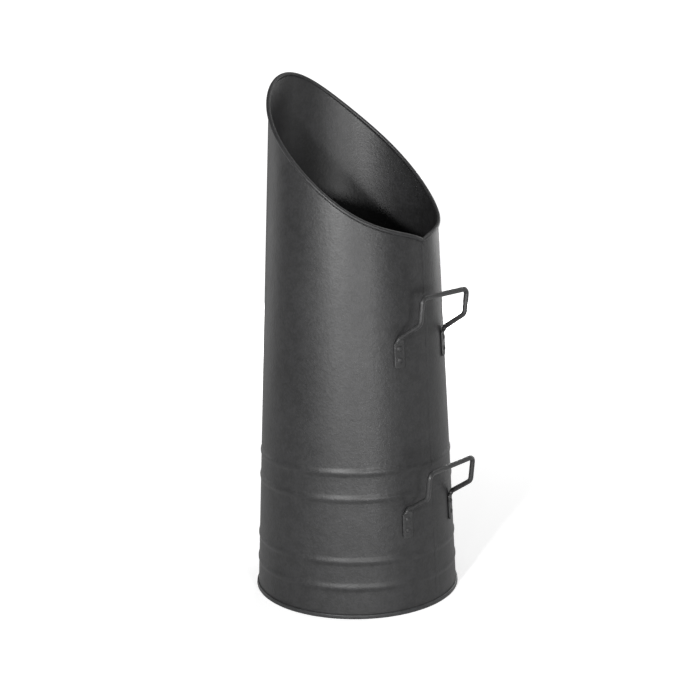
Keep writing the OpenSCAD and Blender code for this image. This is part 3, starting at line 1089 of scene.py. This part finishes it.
@dataclass
class RodHandle(SubAssembly):
    """One bent rod with both ends hammered flat into riveted feet."""

    level: Level
    wall: Wall
    height: float
    rod_radius: float = 2.5 * MM
    rod_out: float = 2.6 * MM
    grip_width: float = 74 * MM
    grip_reach: float = 22.3 * MM
    grip_lean: float = 2.8 * MM
    arm_rise: float = 16 * MM
    grip_rise: float = 41.5 * MM
    grip_bend: float = 6 * MM
    elbow_bend: float = 7 * MM
    root_bend: float = 4 * MM
    foot_width: float = 11 * MM
    foot_depth: float = 1.8 * MM
    foot_gap: float = 0.15 * MM
    foot_drop: float = 29 * MM
    foot_corner: float = 2.5 * MM
    foot_edge: float = 0.7 * MM
    flare_below: float = 3.6 * MM
    flare_above: float = 3.4 * MM
    thinning: float = 1.2
    squaring: float = 1.3
    edge_share: float = 0.75
    bend_step: float = math.radians(7)
    straight_step: float = 4 * MM
    # In millimetres: rows above the foot's lower end
    end_marks: tuple[float, ...] = (0.0, 0.12, 0.35, 0.7, 1.2, 1.8, 2.5, 3.5)
    foot_rows: int = 24
    corner_points: int = 9
    foot_rub: float = 0.3
    rub_rise: float = 10 * MM

    def foot_angle(self) -> float:
        """Returns the angle of a foot from the seam."""
        root = self.wall.radius(self.height) + self.rod_out * math.cos(self.wall.lean)
        return math.asin(self.grip_width / 2 / root)

    def _foot_frame(self) -> Matrix:
        """Returns the frame of the left foot on the wall."""
        return self.wall.placing(Side.LEFT.value * self.foot_angle(), self.height)

    def _corners(self) -> tuple[Vector, Vector, Vector]:
        """Works out where the left side of the rod turns.

        Returns:
            The root, the elbow and the grip's corner.
        """
        root = self._foot_frame() @ Vector((self.rod_out, 0, 0))
        out = self.wall.radius(self.height) + self.grip_reach
        across = Side.LEFT.value * self.grip_width / 2
        elbow = Vector((out - self.grip_lean, across, self.height + self.arm_rise))
        corner = Vector((out, across, self.height + self.grip_rise))
        return root, elbow, corner

    def _bend(
        self, corner: Vector, before: Vector, after: Vector, radius: float
    ) -> tuple[list[Vector], float]:
        """Works out a bend between two directions of travel.

        Args:
            corner: The place where the two straight lines meet.
            before: The direction of travel before the bend.
            after: The direction of travel after it.
            radius: The bend's radius.

        Returns:
            The bend's points, and its setback from the corner.
        """
        turn = before.angle(after)
        setback = radius * math.tan(turn / 2)
        start = corner - before * setback
        inward = (after - before * before.dot(after)).normalized()
        centre = start + inward * radius
        steps = max(4, round(turn / self.bend_step))
        return [
            centre - inward * radius * math.cos(a) + before * radius * math.sin(a)
            for a in spaced(0, turn, steps)
        ], setback

    def _section(self, along: float) -> tuple[float, float, float]:
        """Works out how far the rod is hammered flat.

        Args:
            along: The length along the rod past the start of its root bend.

        Returns:
            Half the width, half the depth and the corner radius of the section.
        """
        flat = 1 - smooth_step((along + self.flare_below) / (self.flare_below + self.flare_above))
        width = blend(self.rod_radius, self.foot_width / 2, flat)
        thin_run = self.flare_below + self.thinning * self.flare_above
        thin = 1 - smooth_step((along + self.flare_below) / thin_run)
        depth = blend(self.rod_radius, self.foot_depth / 2, thin)
        square = smooth_step(thin * self.squaring)
        corner = min(depth, blend(self.rod_radius, self.foot_edge, square))
        return width, depth, corner

    def _foot_points(self, setback: float) -> list[PathPoint]:
        """Works out the path of the left foot.

        Args:
            setback: How far below the root the root bend starts.

        Returns:
            The path from the foot's rounded lower end up to the root bend.
        """
        bottom = -self.foot_drop
        flat_out = self.foot_gap + self.foot_depth / 2
        on_wall = self._foot_frame()
        points = []
        rows = [mark * MM for mark in self.end_marks]
        rows += spaced(rows[-1], self.foot_drop - setback, self.foot_rows)[1:-1]
        for row in rows:
            height = bottom + row
            width, depth, corner = self._section(height + setback)
            dip = self.foot_corner - min(row, self.foot_corner)
            width -= self.foot_corner - math.sqrt(max(0.0, self.foot_corner**2 - dip**2))
            edge = max(0.0, self.foot_edge - row)
            eased = self.foot_edge - math.sqrt(self.foot_edge**2 - edge**2)
            depth -= self.edge_share * eased
            corner = min(corner, depth)
            lift = smooth_step((height + setback + self.flare_below) / self.flare_below)
            out = blend(flat_out, self.rod_out, lift)
            place = on_wall @ Vector((out, 0, height))
            points.append(PathPoint(place, width, depth, corner))
        return points

    def _half_path(self) -> list[PathPoint]:
        """Works out the path of the left side.

        Returns:
            The path from the foot's lower end to the middle of the grip.
        """
        root, elbow, corner = self._corners()
        up = (self._foot_frame().to_3x3() @ Vector((0, 0, 1))).normalized()
        arm = (elbow - root).normalized()
        riser = (corner - elbow).normalized()
        across = Vector((0, -Side.LEFT.value, 0))
        root_bend, root_setback = self._bend(root, up, arm, self.root_bend)
        elbow_bend, _ = self._bend(elbow, arm, riser, self.elbow_bend)
        corner_bend, _ = self._bend(corner, riser, across, self.grip_bend)
        middle = Vector((corner.x, 0, corner.z))
        line: list[Vector] = list(root_bend)
        for bend in (elbow_bend, corner_bend, [middle]):
            run = (bend[0] - line[-1]).length
            steps = max(2, round(run / self.straight_step))
            start = line[-1]
            line += [start.lerp(bend[0], share) for share in spaced(0, 1, steps)[1:]] + bend[1:]
        points = self._foot_points(root_setback)
        along = 0.0
        for before, here in zip([line[0], *line], line):
            along += (here - before).length
            points.append(PathPoint(here, *self._section(along)))
        return points

    def _ring(self, point: PathPoint, width_way: Vector, depth_way: Vector) -> Ring:
        """Lays out the rounded section at a path point.

        Args:
            point: The path point.
            width_way: The direction of the section's width.
            depth_way: The direction of its depth.

        Returns:
            The section's points in order.
        """
        ring = []
        for quarter in range(4):
            sign_w = 1 if quarter in (0, 3) else -1
            sign_d = 1 if quarter in (0, 1) else -1
            middle_w = sign_w * (point.half_width - point.corner)
            middle_d = sign_d * (point.half_depth - point.corner)
            for i in range(self.corner_points):
                turn = math.pi / 2 * (quarter + (i + 0.5) / self.corner_points)
                w = middle_w + point.corner * math.cos(turn)
                d = middle_d + point.corner * math.sin(turn)
                ring.append(point.place + width_way * w + depth_way * d)
        return ring

    def _side_rings(self) -> list[Ring]:
        """Lays sections along the left side, turned as little as the path allows.

        Returns:
            The sections from the foot's lower end to the middle of the grip.
        """
        path = self._half_path()
        width_way = (self._foot_frame().to_3x3() @ Vector((0, 1, 0))).normalized()
        rings = []
        for i, point in enumerate(path):
            before = path[max(0, i - 1)].place
            after = path[min(len(path) - 1, i + 1)].place
            forward = (after - before).normalized()
            if i == len(path) - 1:
                forward = Vector((0, -Side.LEFT.value, 0))
            width_way = (width_way - forward * width_way.dot(forward)).normalized()
            depth_way = width_way.cross(forward).normalized()
            rings.append(self._ring(point, width_way, depth_way))
        return rings

    def build(self) -> bpy.types.Object:
        """Builds the left side and its mirror image as one solid.

        Returns:
            The piece, named for its level.
        """
        draft = MeshDraft()
        left = self._side_rings()
        right = [[Vector((p.x, -p.y, p.z)) for p in ring] for ring in reversed(left[:-1])]
        grip_height = self.height + self.arm_rise
        rings = []
        for ring in left + right:
            held = [smooth_step((p.z - grip_height) / self.rub_rise) for p in ring]
            polish_and_sheen_values = [blend(self.foot_rub, 1.0, share) for share in held]
            rings.append(draft.add_ring(ring, polish_and_sheen_values))
        for one, other in zip(rings, rings[1:]):
            draft.bridge(one, other)
        draft.close(rings[0])
        draft.close(rings[-1])
        return draft.finish(f"{self.level.value}_handle_rod", crease=60)


@dataclass
class Rivet(SubAssembly):
    """One domed rivet through a foot and the body sheet."""

    wall: Wall
    handle: RodHandle
    side: Side
    place: Place
    shank_radius: float = 1.5 * MM
    head_radius: float = 2.7 * MM
    head_height: float = 1.3 * MM
    tail_radius: float = 2.5 * MM
    tail_height: float = 1 * MM
    tail_gap: float = 0.05 * MM
    edge: float = 8 * MM
    pitch: float = 11 * MM
    head_lip: float = 0.22 * MM
    head_ease: tuple[float, float] = (0.1 * MM, 0.08 * MM)
    tail_round: float = 0.45 * MM
    struck: float = 0.03
    struck_turn: float = 1.3
    upper_turn: float = 0.6
    head_rub: float = 0.7
    tail_steps: int = 5
    dome_steps: int = 12
    steps: int = 40

    def name(self) -> str:
        """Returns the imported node's name."""
        return f"rivet_{self.handle.level.value}_{self.side.name.lower()}_{self.place.value}"

    def _seat(self) -> float:
        """Returns how far out of the wall the head sits."""
        return self.handle.foot_gap + self.handle.foot_depth

    def _outline(self) -> list[Point2]:
        """Works out the cut through half of the rivet.

        Returns:
            The outline (radius, distance out of the wall), from the tail to the head.
        """
        seat = self._seat()
        tail = -self.wall.sheet - self.tail_gap
        dome_rise = self.head_height - self.head_lip
        dome_radius = (self.head_radius**2 + dome_rise**2) / (2 * dome_rise)
        half = math.degrees(math.asin(self.head_radius / dome_radius))
        head_centre = (0.0, seat + self.head_height - dome_radius)
        tail_end = tail - self.tail_height
        tail_centre = (self.tail_radius - self.tail_round, tail_end + self.tail_round)
        outline = [(0.0, tail_end)]
        outline += arc(tail_centre, self.tail_round, -90, 0, self.tail_steps)
        outline += [
            (self.tail_radius, tail),
            (self.shank_radius, tail),
            (self.shank_radius, seat),
            (self.head_radius - self.head_ease[0], seat),
            (self.head_radius, seat + self.head_ease[1]),
        ]
        return outline + arc(head_centre, dome_radius, 90 - half, 90, self.dome_steps)

    def _rub(self, point: Point2) -> float:
        """Returns the rub value: hands polish the head, and nothing the tail."""
        return self.head_rub if point[1] > self.wall.sheet else 0.0

    def build(self) -> bpy.types.Object:
        """Builds the rivet in its place, turned and struck a little off true.

        Returns:
            The rivet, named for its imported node.
        """
        draft = MeshDraft()
        draft.lathe(self._outline(), self.steps, self._rub)
        count = list(Place).index(self.place) + 2 * list(Side).index(self.side)
        start = self.upper_turn if self.handle.level is Level.UPPER else 0.0
        turn = self.struck_turn * count + start
        up_foot = self.edge + (self.pitch if self.place is Place.TOP else 0.0)
        along = up_foot - self.handle.foot_drop
        angle = self.side.value * self.handle.foot_angle()
        seat = self._seat()
        for point in draft.points:
            if point.z > seat:
                way = point.x * math.cos(turn) + point.y * math.sin(turn)
                point.z = seat + (point.z - seat) * (1 - self.struck * way / self.head_radius)
        placing = (
            self.wall.placing(angle, self.handle.height)
            @ Matrix.Translation((0, 0, along))
            @ Matrix.Rotation(math.pi / 2, 4, "Y")
        )
        draft.points = [placing @ point for point in draft.points]
        return draft.finish(f"dome_{self.name()}", crease=50)


# ---- Studio ----


@dataclass(frozen=True)
class SoftBox:
    """One square studio lamp, aimed at a point of the object."""

    name: str
    azimuth: float
    elevation: float
    distance: float
    size: float
    power: float
    aim: Vector = Vector((0, 0, 0.28))

    def build(self) -> bpy.types.Object:
        """Builds the lamp.

        Returns:
            The lamp, linked to the scene.
        """
        light = bpy.data.lights.new(self.name, "AREA")
        light.shape = "SQUARE"
        light.size = self.size
        light.energy = self.power
        lamp = bpy.data.objects.new(self.name, light)
        azimuth = math.radians(self.azimuth)
        elevation = math.radians(self.elevation)
        away = Vector((
            math.sin(azimuth) * math.cos(elevation),
            -math.cos(azimuth) * math.cos(elevation),
            math.sin(elevation),
        ))
        lamp.location = self.aim + away * self.distance
        lamp.rotation_mode = "QUATERNION"
        lamp.rotation_quaternion = away.to_track_quat("Z", "Y")
        bpy.context.scene.collection.objects.link(lamp)
        return lamp


@dataclass(frozen=True)
class PhotoCamera:
    """The camera of the photograph, by its place round the object and its small turns.

    Angles are in radians. The focal length is in pixels of a frame 700 pixels wide.
    """

    azimuth: float = 0.683632
    distance: float = 1.250713
    height: float = 0.505689
    dip: float = 0.202245
    pan: float = -0.003318
    tilt: float = -0.015361
    focal_pixels: float = 1242.084
    frame_pixels: float = 700
    sensor: float = 36
    nearest: float = 0.01
    farthest: float = 60

    def build(self) -> bpy.types.Object:
        """Builds the camera and makes it the scene's own.

        Returns:
            The camera.
        """
        data = bpy.data.cameras.new("photo_camera")
        data.lens = self.sensor * self.focal_pixels / self.frame_pixels
        data.sensor_width = self.sensor
        data.clip_start = self.nearest
        data.clip_end = self.farthest
        camera = bpy.data.objects.new("photo_camera", data)
        flat = math.cos(self.dip)
        ahead = Vector((math.sin(self.pan) * flat, math.cos(self.pan) * flat, -math.sin(self.dip)))
        right = Vector((math.cos(self.pan), -math.sin(self.pan), 0))
        up = right.cross(ahead)
        level_right = right * math.cos(self.tilt) + up * math.sin(self.tilt)
        level_up = up * math.cos(self.tilt) - right * math.sin(self.tilt)
        turned = Matrix((level_right, level_up, -ahead)).transposed().to_4x4()
        place = Matrix.Translation((0, -self.distance, self.height))
        camera.matrix_world = Matrix.Rotation(self.azimuth, 4, "Z") @ place @ turned
        bpy.context.scene.collection.objects.link(camera)
        bpy.context.scene.camera = camera
        return camera


@dataclass
class Studio:
    """A white sweep with soft lamps."""

    lamps: Sequence[SoftBox]
    ambient: float = 0.15
    mirrored: float = 0.3
    seen: float = 1.0
    floor_size: float = 60.0
    floor_tone: float = 0.82
    floor_roughness: float = 0.9
    floor_lift: float = 0.5
    floor_mirrored: float = 0.05
    lift_from: float = 0.35
    lift_to: float = 1.6

    def _world(self) -> None:
        """Makes the world white to the camera, and softer as a light and in reflections."""
        world = bpy.data.worlds.new("white_room")
        world.use_nodes = True
        board = NodeBoard(world.node_tree)
        background = world.node_tree.nodes["Background"]
        path = board.add("ShaderNodeLightPath")
        camera, glossy, through = (
            path.outputs[f"Is {kind} Ray"] for kind in ("Camera", "Glossy", "Transmission")
        )
        direct = board.math("MAXIMUM", camera, through)
        extra = self.mirrored - self.ambient
        mirror = board.math("MULTIPLY_ADD", glossy, extra, self.ambient)
        strength = board.math("MULTIPLY_ADD", direct, self.seen, mirror)
        board.feed(background, Color=(1.0, 1.0, 1.0, 1.0), Strength=strength)
        bpy.context.scene.world = world

    def _floor(self) -> None:
        """Lays a pale floor that keeps the object's shadow."""
        half = self.floor_size / 2
        corners = [(-half, -half, 0), (half, -half, 0), (half, half, 0), (-half, half, 0)]
        mesh = bpy.data.meshes.new("studio_floor")
        mesh.from_pydata(corners, [], [(0, 1, 2, 3)])
        floor = bpy.data.objects.new("studio_floor", mesh)
        bpy.context.scene.collection.objects.link(floor)
        material = bpy.data.materials.new("pale_floor")
        material.use_nodes = True
        board = NodeBoard(material.node_tree)
        shader = material.node_tree.nodes["Principled BSDF"]
        path = board.add("ShaderNodeLightPath")
        place = board.add("ShaderNodeTexCoord")
        away = board.add("ShaderNodeVectorMath", operation="LENGTH")
        board.tree.links.new(place.outputs["Object"], away.inputs[0])
        far = board.ramp(away.outputs["Value"], self.lift_from, self.lift_to)
        white = board.math("MULTIPLY_ADD", far, 1 - self.floor_lift, self.floor_lift)
        seen = board.math("MULTIPLY", path.outputs["Is Camera Ray"], white)
        lift = board.math("MULTIPLY_ADD", path.outputs["Is Glossy Ray"], self.floor_mirrored, seen)
        board.feed(
            shader,
            Base_Color=(self.floor_tone, self.floor_tone, self.floor_tone, 1.0),
            Roughness=self.floor_roughness,
            Emission_Color=(1.0, 1.0, 1.0, 1.0),
            Emission_Strength=lift,
        )
        shader.inputs["Specular IOR Level"].default_value = 0.0
        floor.data.materials.append(material)

    def build(self) -> None:
        """Builds the world, the floor and the lamps."""
        self._world()
        self._floor()
        for lamp in self.lamps:
            lamp.build()
        bpy.context.scene.view_settings.view_transform = "Standard"


LAMPS = (
    SoftBox("key_lamp", azimuth=20, elevation=12.5, distance=1.8, size=0.1, power=25),
    SoftBox("low_lamp", azimuth=30, elevation=0, distance=1.8, size=0.1, power=3.2),
    SoftBox("near_lamp", azimuth=10, elevation=20, distance=0.9, size=0.08, power=1.3),
    SoftBox("side_lamp", azimuth=56, elevation=-2, distance=1.4, size=0.1, power=7.8),
    SoftBox("right_box", azimuth=130, elevation=-1, distance=1.8, size=0.5, power=1.9),
    SoftBox("top_box", azimuth=150, elevation=55, distance=1.8, size=0.8, power=6.0),
    SoftBox("back_box", azimuth=180, elevation=8, distance=1.8, size=0.8, power=8),
    SoftBox("far_box", azimuth=215, elevation=2, distance=1.8, size=0.6, power=14),
    SoftBox("left_box", azimuth=270, elevation=2, distance=1.8, size=0.8, power=3.6),
)

SHEET_COAT = PowderCoat(
    name="coated_sheet",
    colour=(0.008, 0.008, 0.0083),
    light_colour=(0.023, 0.023, 0.0239),
    roughness=0.47,
)
PAN_COAT = PowderCoat(
    name="coated_pan",
    colour=(0.010, 0.010, 0.0103),
    light_colour=(0.034, 0.035, 0.037),
    roughness=0.45,
)
ROD_COAT = PowderCoat(
    name="coated_rod",
    colour=(0.012, 0.012, 0.0123),
    light_colour=(0.034, 0.034, 0.0348),
    roughness=0.42,
    grain_height=0.2 * MM,
)
RIVET_COAT = PowderCoat(
    name="coated_rivet",
    colour=(0.012, 0.012, 0.0123),
    light_colour=(0.030, 0.030, 0.0308),
    roughness=0.6,
    grain_height=0.2 * MM,
)

HANDLE_HEIGHTS = {Level.UPPER: 276.6 * MM, Level.LOWER: 106.5 * MM}


def main() -> None:
    """Builds the scuttle from its sub-assemblies, then the studio and the camera."""
    logging.basicConfig(level=logging.INFO, format="%(message)s")
    PhotoCamera().build()
    grain = PowderGrain().build()
    rub = HandlingPolishAndSheen().build()
    sheet_coat = SHEET_COAT.build(grain, rub)
    rod_coat = ROD_COAT.build(grain, rub)
    rivet_coat = RIVET_COAT.build(grain, rub)

    wall = Wall()
    lip_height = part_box("body_sheet")[1].z - BEAD_RADIUS
    mouth = MouthLine(wall, lip_height)
    BodySheet(wall, mouth).dress(sheet_coat, "coated_sheet", "body_sheet")
    MouthWire(wall, mouth).dress(BareWire().build(grain), "bare_wire", "mouth_wire")
    BasePan(wall).dress(PAN_COAT.build(grain, rub), "coated_sheet", "base_pan")

    for level, height in HANDLE_HEIGHTS.items():
        handle = RodHandle(level, wall, height)
        handle.dress(rod_coat, "coated_rod", f"{level.value}_handle")
        for side in Side:
            for place in Place:
                rivet = Rivet(wall, handle, side, place)
                rivet.dress(rivet_coat, "coated_rivet", rivet.name())

    Studio(LAMPS).build()


if __name__ == "__main__":
    main()
